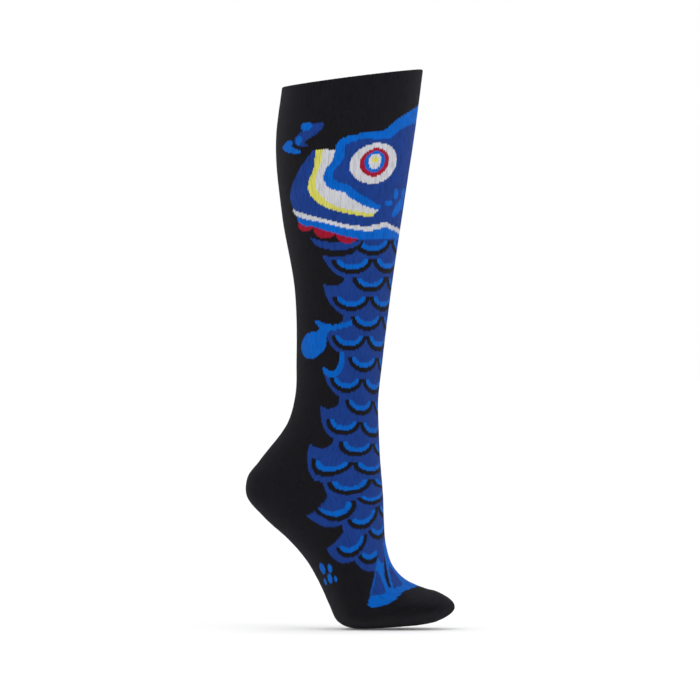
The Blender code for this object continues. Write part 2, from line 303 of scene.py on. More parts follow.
def knit_fins(picture, x, y):
    """The side fin on its arm, and the small fin below it."""
    arm = curve([
        (60, 131.8), (57.7, 130.8), (53.5, 132.7), (46.8, 133.5), (39.6, 131.8), (35, 130, 0), (35, 134, 0),
        (39.4, 134.9), (45.9, 136.8), (50.6, 137.9), (51.9, 140.5), (57.7, 138.1), (56.6, 135.5)])
    pad = curve([
        (61.2, 137.9), (55, 138.2), (51.6, 140.8), (52, 147.7), (57.6, 153.2), (64, 155.3), (70.5, 152.7),
        (72.5, 147.3), (68.2, 140.7)])
    small = curve([
        (53.7, 159.3, 0), (46.8, 162.1), (42.8, 158.2), (41.9, 150, 0), (38.8, 149.5, 0), (39.2, 160),
        (44, 165.5), (49, 165.8), (53, 163.5, 0)])
    gap = curve([(41.9, 150, 0), (42.8, 158.2), (46.8, 162.1), (53.7, 159.3, 0), (53.7, 153, 0)])
    for outline, yarn in ((gap, BLACK), (arm, AZURE), (pad, AZURE), (small, AZURE)):
        picture[inside(outline, x, y)] = yarn


def knit_tail(picture, x, y):
    """The tail spread over the instep: a dark split, royal panels and an azure hem."""
    tail = curve([
        (22, 284, 0), (27.4, 289.9), (34.4, 296.2), (40.8, 302.1), (43.8, 304.6), (44, 307.4), (41.2, 310),
        (36.3, 311.8), (29.1, 311.4), (21.4, 310), (13.7, 311.2), (-6, 314, 0), (-6, 277, 0), (12, 277),
        (17, 281)])
    outer = curve([
        (25.5, 289.5), (31, 294.5), (38.9, 300.5, 0), (34.4, 302.8), (30, 304), (27.5, 300), (25, 294)])
    inner = curve([
        (10, 291), (15, 294.5), (20, 299), (24.5, 303.6, 0), (21, 305), (14.3, 305.4), (10.5, 301),
        (8.5, 295)])
    stem = curve([(20, 276, 0), (20, 286), (15, 288), (11, 282), (10, 276, 0)])
    ray = curve([
        (13, 286), (18, 291), (23, 297), (27, 304), (24.5, 305.5), (19, 299.5), (13.5, 292), (10, 287)])
    split = curve([
        (14, 286), (18.3, 291), (22.4, 296), (25, 302), (23.6, 302.4), (19.4, 297.2), (15.3, 291.5),
        (12.6, 287)])
    for outline, yarn in ((tail, AZURE), (outer, ROYAL), (inner, ROYAL), (stem, ROYAL), (ray, AZURE),
                          (split, BLACK)):
        picture[inside(outline, x, y)] = yarn


def knit_gills(picture, x, y):
    """Behind the head: a royal blade, three red lobes, an azure band and a white stripe."""
    blade = curve([
        (58.6, 78.2, 0), (55.8, 83.2), (51.5, 85.5), (46.2, 87), (40.8, 87), (36.4, 85.8), (32.5, 83.8),
        (31, 81, 0), (37.5, 82.2), (45.4, 82), (52.2, 80.7)])
    shade = curve([
        (61, 73), (50, 77), (34, 79), (31, 80), (31, 84.5), (34.2, 87.8), (36, 89.6), (41, 90.6),
        (49.4, 90.6), (57, 88), (62, 79)])
    picture[inside(shade, x, y)] = BLACK
    picture[inside(blade, x, y)] = ROYAL
    for lobe in ((60.4, 70.4, 4.6, 3.6), (49.8, 73.6, 6.2, 5.6), (38.4, 77.4, 6.2, 5.4)):
        picture[oval(x, y, *lobe)] = RED
    band = curve([
        (64.5, 64), (62.5, 69.7), (55.8, 71.6), (44.2, 76.7), (33, 80.6), (20, 80.6), (8, 81.5),
        (-6, 84, 0), (-6, 74, 0), (30, 72), (50, 67)])
    picture[inside(band, x, y)] = AZURE
    stripe = curve([
        (66.8, 59.4), (63.6, 64.8), (51.5, 69), (41, 73), (30.5, 75.5), (23, 75.2), (17.3, 73.4, 0),
        (12, 75.8), (-6, 80.5, 0), (-6, 70, 0), (20, 66), (50, 62)])
    picture[inside(stripe, x, y)] = WHITE


def knit_head(picture, x, y):
    """The jaw, the open mouth with its yellow lip, the face with its azure edge, and the eye."""
    jaw = curve([
        (54.5, 22.6, 0), (59, 30.2), (62.2, 35.6), (67.2, 46.2), (68.4, 52.5), (67.4, 57.4), (65.6, 60.4),
        (57.6, 64), (48.4, 67.8), (39.4, 71.1), (30.7, 72.7), (23.9, 72.2), (17.9, 70.5, 0), (12.5, 73),
        (-6, 78, 0), (-6, 55, 0), (30, 55), (48, 40), (48, 22.8, 0)])
    lip = curve([
        (53.6, 22.7, 0), (53.8, 28.8), (54.4, 35), (56.4, 41), (57.3, 47), (55.8, 52.4), (50.6, 58.6),
        (43.1, 62.9), (34, 65.8), (26.4, 67.5, 0), (24.5, 65, 0), (46, 46), (46, 23.8, 0)])
    mouth = curve([
        (50.2, 23.2, 0), (50.7, 29.2), (52, 35), (53.5, 41), (53.3, 47.5), (49.5, 54.5), (46.3, 58),
        (42.1, 60.6), (33, 63.7), (25.2, 65.5, 0), (22, 62.6, 0), (42, 46), (42, 24.3, 0)])
    edge = curve([
        (-6, -3, 0), (5.6, 2), (15.2, 6.6), (20.5, 10.9), (24.8, 14.8), (35, 15.4), (42, 17.2),
        (44.6, 20.5), (45.2, 26), (46.4, 31.3), (48.8, 35.6), (49.9, 41.5), (48.2, 46.8), (45.6, 49),
        (40, 51.4), (38.2, 54.2), (30.4, 60.4), (22.6, 63.6, 0), (18, 60), (-6, 60, 0)])
    face = curve([
        (-6, 9, 0), (4.7, 11.8), (12.2, 13.6), (16.6, 16), (21.5, 20.3), (31.4, 19.2), (37, 19.8),
        (40.8, 22), (41, 28.5), (42.6, 32.5), (45, 36.5), (45.6, 40.5), (43.2, 44.6), (39, 46.3), (35, 51),
        (24, 59.7), (19, 61), (17, 66), (-6, 66, 0)])
    for outline, yarn in ((jaw, ROYAL), (lip, YELLOW), (mouth, WHITE), (edge, AZURE), (face, ROYAL)):
        picture[inside(outline, x, y)] = yarn
    for centre_y, half_x, half_y, yarn in ((34.6, 11.6, 12.3, WHITE), (34.0, 7.1, 8.7, RED),
                                           (33.6, 4.9, 6.5, AZURE), (33.4, 3.0, 4.9, WHITE),
                                           (32.3, 1.6, 2.0, YELLOW)):
        picture[oval(x, y, 27, centre_y, half_x, half_y)] = yarn
    # Small leaves on the cheek.
    leaf = curve([(6.5, 56.6), (10.2, 59), (13.4, 64.8), (14.2, 67.2), (11.2, 67.4), (7.1, 64), (3.8, 59.5)])
    picture[inside(leaf, x, y)] = AZURE
    for spot in ((12.8, 54, 1.7, 3.2), (17.2, 59.4, 2.5, 1.9), (6, 54, 2.2, 3.2)):
        picture[oval(x, y, *spot)] = AZURE


def knit_barbels(picture, x, y):
    """Two short feelers in front of the mouth."""
    upper = curve([
        (51, 6.6), (55, 6.2), (59.5, 9), (64, 14.6), (62.5, 18.6), (56.5, 20.4), (58.6, 17.2), (54.2, 13.6),
        (51.2, 9.8)])
    lower = curve([(72, 18.7), (67.5, 15), (65, 16.3), (65, 19.4), (60, 22.9), (63.2, 23.9), (69, 22)])
    picture[inside(upper, x, y)] = ROYAL
    picture[inside(lower, x, y)] = AZURE
    picture[oval(x, y, 58.4, 7.4, 2.8, 2.7)] = AZURE
    picture[oval(x, y, 61.6, 15.8, 1.6, 2.8)] = AZURE


def knit_bubbles(picture, x, y):
    """A small cluster of bubbles beside the tail."""
    for needle, course, half in ((66, 272, 2.6), (59, 274, 2.0), (62, 279, 2.3), (68, 279, 1.6),
                                 (57, 281, 1.4)):
        picture[oval(x, y, needle, course, half, half * 1.2)] = AZURE


def knit_picture(needle, course, needles):
    """Yarn of every stitch, from its place in needles from the front line and courses."""
    offset = np.minimum(needle, needles - needle) * PICTURE_NEEDLES / needles
    picture = np.full(offset.shape, BLACK)
    for part in (knit_scales, knit_fins, knit_tail, knit_gills, knit_head, knit_barbels, knit_bubbles):
        part(picture, offset, course)
    return picture


# ---------- colours and materials

def linear(hex_colour):
    """An sRGB hex colour as linear red, green and blue."""
    channels = [int(hex_colour[i:i + 2], 16) / 255 for i in (1, 3, 5)]
    return tuple(c / 12.92 if c <= 0.04045 else ((c + 0.055) / 1.055) ** 2.4 for c in channels)


def set_sockets(tree, node, sockets):
    """Sets input sockets, or links them to a given socket or to the first output of a given node."""
    for socket, value in sockets.items():
        if isinstance(value, bpy.types.Node):
            value = value.outputs[0]
        if isinstance(value, bpy.types.NodeSocket):
            tree.links.new(value, node.inputs[socket])
        else:
            node.inputs[socket].default_value = value


def add_node(tree, kind, sockets=None, **settings):
    """Adds a node, sets its properties, and sets or links its input sockets."""
    node = tree.nodes.new(kind)
    for name, value in settings.items():
        setattr(node, name, value)
    set_sockets(tree, node, sockets or {})
    return node


def new_material(name, values):
    """A material whose Principled shader has these values, with its node tree and that shader."""
    material = bpy.data.materials.new(name)
    material.use_nodes = True
    tree = material.node_tree
    shader = tree.nodes["Principled BSDF"]
    set_sockets(tree, shader, values)
    return material, tree, shader


def knit_material(name, roughness=0.9, dimple=0.0003):
    """Fine-gauge jersey: dull yarn legs with painted shade in the gaps between them, and a soft lint glow at
    the edges.

    Reads the yarn of each stitch from the piece, and the Stitches map, one unit to a needle or a course.
    """
    material, tree, shader = new_material(name, {
        "Roughness": roughness, "Specular IOR Level": 0.05, "Sheen Weight": 0.06,
        "Sheen Roughness": 0.45, "Sheen Tint": (0.85, 0.88, 1.0, 1.0)})
    add = partial(add_node, tree)
    yarn = add("ShaderNodeAttribute", attribute_name="yarn_colour")
    stitches = add("ShaderNodeUVMap", uv_map="Stitches")
    place = add("ShaderNodeSeparateXYZ", {0: stitches})
    # Two legs to a stitch, rounded across, each pinched where the next course pulls it in.
    across = add("ShaderNodeMath", {0: place.outputs["X"], 1: 2 * math.pi}, operation="MULTIPLY")
    legs = add("ShaderNodeMath", {0: across}, operation="SINE")
    legs = add("ShaderNodeMath", {0: legs}, operation="ABSOLUTE")
    along = add("ShaderNodeMath", {0: place.outputs["Y"], 1: math.pi}, operation="MULTIPLY")
    pinch = add("ShaderNodeMath", {0: along}, operation="SINE")
    pinch = add("ShaderNodeMath", {0: pinch}, operation="ABSOLUTE")
    pinch = add("ShaderNodeMath", {0: pinch, 1: 0.45, 2: 0.55}, operation="MULTIPLY_ADD")
    loops = add("ShaderNodeMath", {0: legs, 1: pinch}, operation="MULTIPLY")
    # Spun fibres, about 0.1 mm apart.
    coordinates = add("ShaderNodeTexCoord").outputs["Object"]
    fibres = add("ShaderNodeTexNoise", {"Vector": coordinates, "Scale": 9000.0, "Detail": 2.0})
    height = add("ShaderNodeMath", {0: fibres, 1: 0.3, 2: loops}, operation="MULTIPLY_ADD")
    bump = add("ShaderNodeBump", {"Strength": 0.8, "Distance": dimple, "Height": height})
    # Painted shade: the base colour is darkened in the gaps between the legs and lightened on their crowns,
    # and the yarn shade drifts a little from place to place.
    drift = add("ShaderNodeTexNoise", {"Vector": coordinates, "Scale": 60.0, "Detail": 3.0})
    shade = add("ShaderNodeMapRange", {"Value": loops, "To Min": 0.62, "To Max": 1.12})
    drift = add("ShaderNodeMapRange", {"Value": drift, "To Min": 0.86, "To Max": 1.14})
    shade = add("ShaderNodeMath", {0: shade, 1: drift}, operation="MULTIPLY")
    # The painted shade of the gaps and the drift are multiplied into the yarn colour.
    colour = add("ShaderNodeVectorMath", {0: yarn.outputs["Color"], 1: shade}, operation="MULTIPLY")
    set_sockets(tree, shader, {"Base Color": colour, "Normal": bump})
    return material


def yarn_material(name, colour, roughness, fuzz, twist):
    """Loose yarn: plied threads that run slantwise round it, dull and slightly hairy, with painted shade in
    the grooves between the plies.
    """
    material, tree, shader = new_material(name, {
        "Roughness": roughness, "Specular IOR Level": 0.2, "Sheen Weight": fuzz, "Sheen Roughness": 0.45})
    add = partial(add_node, tree)
    coordinates = add("ShaderNodeTexCoord").outputs["Object"]
    plies = add("ShaderNodeTexWave", {"Vector": coordinates, "Scale": twist, "Distortion": 1.5,
                                      "Detail": 1.0}, bands_direction="DIAGONAL").outputs[1]
    # Painted shade: the colour is darker in the grooves between the plies and lighter on their crowns.
    shade = add("ShaderNodeMapRange", {"Value": plies, "To Min": 0.7, "To Max": 1.15})
    tint = add("ShaderNodeVectorMath", {0: colour, 1: shade}, operation="MULTIPLY")
    bump = add("ShaderNodeBump", {"Strength": 0.5, "Distance": 0.0001, "Height": plies})
    set_sockets(tree, shader, {"Base Color": tint, "Normal": bump})
    return material


# ---------- Geometry Nodes

def new_tree(name, *numbers):
    """A Geometry Nodes tree with named number inputs and a material input, and its input node."""
    tree = bpy.data.node_groups.new(name, "GeometryNodeTree")
    kinds = [("Geometry", "Geometry"), *((label, "Float") for label in numbers), ("Material", "Material")]
    for label, kind in kinds:
        tree.interface.new_socket(name=label, in_out="INPUT", socket_type="NodeSocket" + kind)
    tree.interface.new_socket(name="Geometry", in_out="OUTPUT", socket_type="NodeSocketGeometry")
    return tree, add_node(tree, "NodeGroupInput").outputs


def end_tree(tree, geometry, material):
    real = add_node(tree, "GeometryNodeRealizeInstances", {0: geometry})
    finish = add_node(tree, "GeometryNodeSetMaterial", {"Geometry": real, "Material": material})
    add_node(tree, "NodeGroupOutput", {0: finish})
    return tree


def knit_relief_tree():
    """Lifts the wales, leans the two legs of every stitch and adds the unevenness of real knitting."""
    tree, given = new_tree("Knit Relief", "Stitch Height", "Stitch Lean", "Rib Height", "Unevenness", "Seed")
    add = partial(add_node, tree)
    place = add("GeometryNodeInputNamedAttribute", {"Name": "place"})
    outside = add("GeometryNodeInputNamedAttribute", {"Name": "outside"})
    step = add("GeometryNodeInputNamedAttribute", {"Name": "course_step"}, data_type="FLOAT_VECTOR")
    normal = add("GeometryNodeInputNormal")
    stitch = add("ShaderNodeMath", {0: place, 1: 2 * math.pi}, operation="MULTIPLY")
    stitch = add("ShaderNodeMath", {0: stitch}, operation="COSINE")
    rib = add("ShaderNodeMath", {0: place, 1: math.pi}, operation="MULTIPLY")
    rib = add("ShaderNodeMath", {0: rib}, operation="COSINE")
    uneven = add("ShaderNodeTexNoise", {"Vector": add("GeometryNodeInputPosition"), "W": given["Seed"],
                                        "Scale": 140.0, "Detail": 3.0}, noise_dimensions="4D")
    uneven = add("ShaderNodeMath", {0: uneven, 1: 0.5}, operation="SUBTRACT")
    wale = add("ShaderNodeMath", {0: stitch, 1: given["Stitch Height"]}, operation="MULTIPLY")
    ribs = add("ShaderNodeMath", {0: rib, 1: given["Rib Height"], 2: wale}, operation="MULTIPLY_ADD")
    lift = add("ShaderNodeMath", {0: ribs, 1: -0.5}, operation="MULTIPLY")
    lift = add("ShaderNodeMath", {0: uneven, 1: given["Unevenness"], 2: lift}, operation="MULTIPLY_ADD")
    lean = add("ShaderNodeMath", {0: stitch, 1: given["Stitch Lean"]}, operation="MULTIPLY")
    lean = add("ShaderNodeMath", {0: lean, 1: -0.5}, operation="MULTIPLY")
    outward = add("ShaderNodeVectorMath", {0: normal, "Scale": lift}, operation="SCALE")
    slant = add("ShaderNodeVectorMath", {0: step, "Scale": lean}, operation="SCALE")
    both = add("ShaderNodeVectorMath", {0: outward, 1: slant}, operation="ADD")
    both = add("ShaderNodeVectorMath", {0: both, "Scale": outside}, operation="SCALE")
    moved = add("GeometryNodeSetPosition", {"Geometry": given["Geometry"], "Offset": both})
    return end_tree(tree, moved, given["Material"])


def strand_tree():
    """Lays a round yarn along every line of edges."""
    tree, given = new_tree("Yarn Strands", "Yarn Radius", "Slack", "Seed")
    add = partial(add_node, tree)
    sway = add("ShaderNodeTexNoise", {"Vector": add("GeometryNodeInputPosition"), "W": given["Seed"],
                                      "Scale": 90.0, "Detail": 1.0}, noise_dimensions="4D")
    sway = add("ShaderNodeMath", {0: sway, 1: 0.5}, operation="SUBTRACT")
    sway = add("ShaderNodeMath", {0: sway, 1: given["Slack"]}, operation="MULTIPLY")
    shift = add("ShaderNodeCombineXYZ", {"Z": sway})
    moved = add("GeometryNodeSetPosition", {"Geometry": given["Geometry"], "Offset": shift})
    lines = add("GeometryNodeMeshToCurve", {0: moved})
    circle = add("GeometryNodeCurvePrimitiveCircle", {"Resolution": 6, "Radius": given["Yarn Radius"]})
    tubes = add("GeometryNodeCurveToMesh", {"Curve": lines, "Profile Curve": circle, "Fill Caps": True})
    return end_tree(tree, tubes, given["Material"])


def seam_tree():
    """Linking stitches: short slanted loops set side by side along a line."""
    tree, given = new_tree("Linking Stitches", "Stitch Spacing", "Yarn Radius", "Loop Radius")
    add = partial(add_node, tree)
    line = add("GeometryNodeMeshToCurve", {0: given["Geometry"]})
    places = add("GeometryNodeCurveToPoints", {"Curve": line, "Length": given["Stitch Spacing"]},
                 mode="LENGTH")
    ring = add("GeometryNodeCurvePrimitiveCircle", {"Resolution": 10, "Radius": given["Loop Radius"]})
    section = add("GeometryNodeCurvePrimitiveCircle", {"Resolution": 5, "Radius": given["Yarn Radius"]})
    loop = add("GeometryNodeCurveToMesh", {"Curve": ring, "Profile Curve": section})
    leaning = add("GeometryNodeTransform", {"Geometry": loop, "Rotation": (0.0, 0.5, 0.0)})
    loops = add("GeometryNodeInstanceOnPoints", {"Points": places.outputs["Points"], "Instance": leaning,
                                                 "Rotation": places.outputs["Rotation"]})
    return end_tree(tree, loops, given["Material"])


def grow(piece, tree, inputs):
    """Runs a Geometry Nodes tree on a piece and keeps the result as its plain mesh."""
    modifier = piece.modifiers.new(tree.name, "NODES")
    modifier.node_group = tree
    for item in tree.interface.items_tree:
        if item.in_out == "INPUT" and item.name in inputs:
            modifier[item.identifier] = inputs[item.name]
    graph = bpy.context.evaluated_depsgraph_get()
    made = bpy.data.meshes.new_from_object(piece.evaluated_get(graph), preserve_all_data_layers=True,
                                           depsgraph=graph)
    made.name = piece.name
    old = piece.data
    piece.modifiers.remove(modifier)
    piece.data = made
    bpy.data.meshes.remove(old)
    return piece


# ---------- knitting

CLEARANCE = 0.0003          # between neighbours
HEEL_ROWS = 46
TOE_ROWS = 34
STREAK_SEED = 7
STREAK_COURSES = 3          # a needle knits tighter or slacker over about this many courses
TIGHT_SHADE = 1.05
SLACK_DARKER = 0.32         # how much darker the slackest stitches are
# Bake map, in shares of its side: the outer face on top, under it the rims, then the inner face.
MAP_EDGE = 0.004
OUTER_LOW = 0.16
TIP_PLACE = (0.5, 0.157)
RIM_LOW, RIM_DEPTH = 0.134, 0.02
INNER_HIGH = 0.13


def patch(rows, columns, closed, first, flip):
    """Quads of a grid of points: their vertices, and the grid place of every corner."""
    i, j = np.mgrid[0:rows - 1, 0:columns if closed else columns - 1]
    down = i.reshape(-1, 1) + np.array((0, 1, 1, 0))
    across = j.reshape(-1, 1) + np.array((0, 0, 1, 1))
    vertices = first + down * columns + across % columns
    if flip:
        down, across, vertices = down[:, ::-1], across[:, ::-1], vertices[:, ::-1]
    return vertices, across.astype(float), down.astype(float)


def place_on(object_name, mesh):
    piece = bpy.data.objects.new(object_name, mesh)
    bpy.context.scene.collection.objects.link(piece)
    return piece


def knit(name, outer, inner, places, palette, courses=None, yarns=None, closed=True, tips=()):
    """A closed sheet of knitting from its outer and inner grids of points.

    places are the needle places of the columns, courses the course numbers of the rows if they
    don't count from 0, and yarns the yarn of every outer quad if it isn't plain black. Both faces
    meet in a rim along each edge, or end in the outer and inner tips.
    """
    rows, columns = outer.shape[:2]
    inner_rows = inner.shape[0]
    span = columns if closed else columns - 1
    courses = np.arange(rows) if courses is None else courses
    yarns = np.full((rows - 1, span), BLACK) if yarns is None else yarns
    inner_first = rows * columns
    points = [outer.reshape(-1, 3), inner.reshape(-1, 3)]
    blocks = []             # vertices, bake map, stitch map, colours of each group of faces
    place_of = np.append(places, 2 * places[-1] - places[-2])
    rng = np.random.default_rng(STREAK_SEED)
    black = palette[[BLACK]]

    def block(vertices, share, bake_v, stitch_u, stitch_v, colours):
        bake_u = MAP_EDGE + (1 - 2 * MAP_EDGE) * share
        blocks.append((vertices, np.stack((bake_u, bake_v), -1), np.stack((stitch_u, stitch_v), -1),
                       np.broadcast_to(colours, (len(vertices), 3))))

    vertices, across, down = patch(rows, columns, closed, 0, False)
    stitch_v = -np.interp(down, np.arange(rows), courses)
    # Tight and slack needles: the dark ground shows through in thin streaks a few courses long.
    slack = rng.random((rows // STREAK_COURSES + 2, len(places) + 2)) ** 3
    steps = np.arange(rows - 1) / STREAK_COURSES
    floor_step = steps.astype(int)
    blend = (steps - floor_step)[:, None]
    slack = (slack[floor_step] * (1 - blend) + slack[floor_step + 1] * blend)[:, :yarns.shape[1]]
    shades = palette[yarns.reshape(-1)] * (TIGHT_SHADE - SLACK_DARKER * slack.reshape(-1, 1))
    block(vertices, across / span, 1 - MAP_EDGE - (1 - MAP_EDGE - OUTER_LOW) * down / (rows - 1),
          place_of[across.astype(int)], stitch_v, shades)
    vertices, across, down = patch(inner_rows, columns, closed, inner_first, True)
    inner_courses = np.interp(down / (inner_rows - 1) * (rows - 1), np.arange(rows), courses)
    block(vertices, across / span, INNER_HIGH - (INNER_HIGH - MAP_EDGE) * down / (inner_rows - 1),
          place_of[across.astype(int)], -inner_courses, black)

    def rim(outside, inside_edge, u, flip):
        """Quads between matching lists of outer and inner vertices."""
        vertices = np.stack((outside[:-1], outside[1:], inside_edge[1:], inside_edge[:-1]), -1)
        along = np.stack((u[:-1], u[1:], u[1:], u[:-1]), -1)
        deep = np.tile((0.0, 0.0, 1.0, 1.0), (len(vertices), 1))
        if flip:
            vertices, along, deep = vertices[:, ::-1], along[:, ::-1], deep[:, ::-1]
        block(vertices, along / max(u[-1], 1), RIM_LOW + RIM_DEPTH * deep, along, deep, black)

    ring = np.append(np.arange(columns), 0) if closed else np.arange(columns)
    count = np.arange(len(ring)).astype(float)
    rim(ring, inner_first + ring, count, False)
    if not tips:
        rim((rows - 1) * columns + ring, inner_first + (inner_rows - 1) * columns + ring, count, True)
    if not closed:
        side = np.arange(rows) * columns
        rim(side, inner_first + side, side / columns, True)
        rim(side + columns - 1, inner_first + side + columns - 1, side / columns, False)
    faces = [quad for b in blocks for quad in b[0].tolist()]
    bake = [b[1].reshape(-1, 2) for b in blocks]
    stitch = [b[2].reshape(-1, 2) for b in blocks]
    colour = [np.repeat(b[3], 4, axis=0) for b in blocks]
    if tips:
        points.append(np.array(tips))
        pole = inner_first + inner_rows * columns
        for first, tip, flip in (((rows - 1) * columns, pole, False),
                                 (inner_first + (inner_rows - 1) * columns, pole + 1, True)):
            for j in range(columns):
                corner = [first + j, tip, first + (j + 1) % columns]
                faces.append(corner[::-1] if flip else corner)
        bake.append(np.tile(TIP_PLACE, (6 * columns, 1)))
        stitch.append(np.tile((0.25, courses[-1] + 0.5), (6 * columns, 1)))
        colour.append(np.repeat(black, 6 * columns, axis=0))
    mesh = bpy.data.meshes.new(name)
    mesh.from_pydata(np.concatenate(points).tolist(), [], faces)
    for label, values in (("OFBake", bake), ("Stitches", stitch)):
        layer = mesh.uv_layers.new(name=label)
        layer.data.foreach_set("uv", np.concatenate(values).astype(np.float32).ravel())
    shades = np.concatenate(colour)
    shades = np.concatenate((shades, np.ones((len(shades), 1))), axis=1).astype(np.float32)
    mesh.attributes.new("yarn_colour", "FLOAT_COLOR", "CORNER").data.foreach_set("color", shades.ravel())
    # What the relief reads from the points. It is 0 away from the outer face.
    step = np.gradient(outer, axis=0).reshape(-1, 3)
    for label, kind, key, values in (("place", "FLOAT", "value", np.tile(places, rows)),
                                     ("outside", "FLOAT", "value", np.ones(rows * columns)),
                                     ("course_step", "FLOAT_VECTOR", "vector", step)):
        filled = np.zeros((len(mesh.vertices), *values.shape[1:]), np.float32)
        filled[:rows * columns] = values
        mesh.attributes.new(label, kind, "POINT").data.foreach_set(key, filled.ravel())
    mesh.shade_smooth()
    return place_on(name, mesh)


def palette_of(colours):
    return np.array([tuple(getattr(colours, name)) for name in
                     ("black_yarn", "royal_yarn", "azure_yarn", "white_yarn", "yellow_yarn", "red_yarn")])


def raise_stitches(piece, fabric, material, rib=0.0, creases=1.0):
    """Gives the outer face of a knitted piece its relief and the piece its cloth."""
    grow(piece, knit_relief_tree(), {
        "Stitch Height": fabric.stitch_height, "Stitch Lean": fabric.stitch_lean, "Rib Height": rib,
        "Unevenness": fabric.unevenness * creases, "Seed": 3.0, "Material": material})


def hand_over(piece, nodes):
    """Hides the CAD nodes of a finished piece and gives the piece its body."""
    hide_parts(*nodes)
    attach(piece, "root")


def every(rows, step):
    """Every so many rows, and the last one."""
    return np.append(rows[:-1:step], rows[-1])


# ---------- sizes and colours

def length(label, default, description):
    return FloatProperty(name=label, description=description, default=default, unit="LENGTH", precision=5)


class SockFabric(PropertyGroup):
    """Counts and sizes of the knitting."""
    needles: IntProperty(name="Needles", description="Stitches in one course of the leg",
                         default=PICTURE_NEEDLES, min=96, max=200)
    course_height: length("Course Height", 0.00155, "Spacing of the courses on the leg")
    fabric: length("Fabric", 0.0012, "Thickness of the leg and foot fabric")
    heel_fabric: length("Heel Fabric", 0.0014, "Thickness of the heel and toe fabric")
    welt_fabric: length("Welt Fabric", 0.0010, "Thickness of each layer of the folded welt")
    stitch_height: length("Stitch Height", 0.0002, "How far a wale stands above its edges")
    stitch_lean: FloatProperty(name="Stitch Lean", default=0.9, min=0, max=2,
                               description="How far the legs of a stitch lean, in courses")
    rib_height: length("Rib Height", 0.0001, "Height of the ribs of the welt")
    unevenness: length("Unevenness", 0.0003, "Unevenness of the surface of the knitting")
    float_yarn: length("Float Yarn", 0.0005, "Diameter of the pattern yarns carried inside")
    elastic_yarn: length("Elastic", 0.0005, "Diameter of the elastic in the welt")


def yarn_colour(label, hex_colour):
    return FloatVectorProperty(name=label, description=label + " colour", subtype="COLOR", size=3,
                               min=0, max=1, default=linear(hex_colour))


class SockColours(PropertyGroup):
    """Colours of the yarns."""
    black_yarn: yarn_colour("Black yarn", "#18171b")
    royal_yarn: yarn_colour("Royal yarn", "#1c3d88")
    azure_yarn: yarn_colour("Azure yarn", "#0461c3")
    white_yarn: yarn_colour("White yarn", "#cbccd2")
    yellow_yarn: yarn_colour("Yellow yarn", "#d2cf60")
    red_yarn: yarn_colour("Red yarn", "#9c1830")


class SockStage(PropertyGroup):
    """Camera, light and floor."""
    focal_length: FloatProperty(name="Focal Length", description="Focal length of the camera, in millimetres",
                                default=400.0, min=35, max=600)
    view_width: length("View Width", 0.6587, "Width of the view at the sock")
    aim: FloatVectorProperty(name="Aim", description="Point at the middle of the view", subtype="TRANSLATION",
                             default=(-0.00235, 0.0, -0.255), precision=4)
    daylight: FloatProperty(name="Daylight", description="Brightness of the even light around", default=1.0)
    key_power: FloatProperty(name="Key Light", description="Power of the large light", default=5.0,
                             unit="POWER")


# ---------- operators

class Knitter:
    """Hands every piece the sizes, the needle places round the sock and the colours of the yarns."""

    def execute(self, context):
        fabric = context.scene.sock_fabric
        self.make(fabric, np.arange(2 * fabric.needles) / 2, palette_of(context.scene.sock_colours))
        return {"FINISHED"}


class SOCK_OT_welt(Knitter, Operator):
    """Knit the folded welt at the leg opening"""
    bl_idname = "sock.welt"
    bl_label = "Welt"

    def make(self, fabric, places, palette):
        wall = fabric.welt_fabric
        half_fold = (wall + fabric.elastic_yarn + 2 * CLEARANCE) / 2
        courses = int(WELT_DEPTH / fabric.course_height)
        # Down and depth of the middle of the cloth, from the outer edge over the fold to the inner edge.
        straight = np.linspace(WELT_DEPTH, half_fold, courses)
        back = straight[::-1][::3]
        bends = np.linspace(0, math.pi, 7)[1:-1]
        down = np.concatenate((straight, half_fold * (1 - np.sin(bends)), back))
        depth = np.concatenate((np.full(courses, wall / 2), wall / 2 + half_fold * (1 - np.cos(bends)),
                                np.full(len(back), wall / 2 + 2 * half_fold)))
        turns = needle_turns(down, places, fabric.needles)
        lean_down, lean_depth = np.gradient(down), np.gradient(depth)
        size = np.hypot(lean_down, lean_depth)
        out_down, out_depth = lean_depth / size * wall / 2, -lean_down / size * wall / 2
        # The outer face is the side away from the pocket.
        sign = 1 if out_depth[0] < 0 else -1
        outer, inner = (
            skin((down + side * out_down)[:, None], turns, (depth + side * out_depth)[:, None])[::-1]
            for side in (sign, -sign))
        piece = knit("welt", outer, inner, places, palette)
        raise_stitches(piece, fabric, knit_material("Black ribbed cotton and elastane"), fabric.rib_height)
        hand_over(piece, ["turned_welt"])


class SOCK_OT_leg(Knitter, Operator):
    """Knit the leg with its picture"""
    bl_idname = "sock.leg"
    bl_label = "Leg"

    def make(self, fabric, places, palette):
        table = course_table(fabric.course_height)
        last = float(np.interp(HEEL_COURSE, FINE_DOWN, table))
        courses = np.linspace(0, last, round(last) + 1)
        down = np.interp(courses, table, FINE_DOWN)

        def at_edge(rows):
            """The rows bend up to the top of the heel pocket at the back."""
            turns = needle_turns(rows, places, fabric.needles)
            bend_start = HEEL_COURSE - 2 * HEEL_RISE
            follow = np.clip((rows - bend_start) / (HEEL_COURSE - bend_start), 0, 1)[:, None]
            return rows[:, None] - HEEL_RISE * heel_open(turns) * follow, turns

        outer = surface(*at_edge(down))
        inner = skin(*at_edge(every(down, 8)), fabric.fabric)
        stitch_course = (courses[:-1] + courses[1:]) / 2
        picture = knit_picture(*np.meshgrid(places + 0.25, stitch_course), fabric.needles)
        piece = knit("leg", outer, inner, places, palette, courses, picture)
        raise_stitches(piece, fabric, knit_material("Patterned cotton and nylon jersey"))
        hand_over(piece, ["leg_tube"])


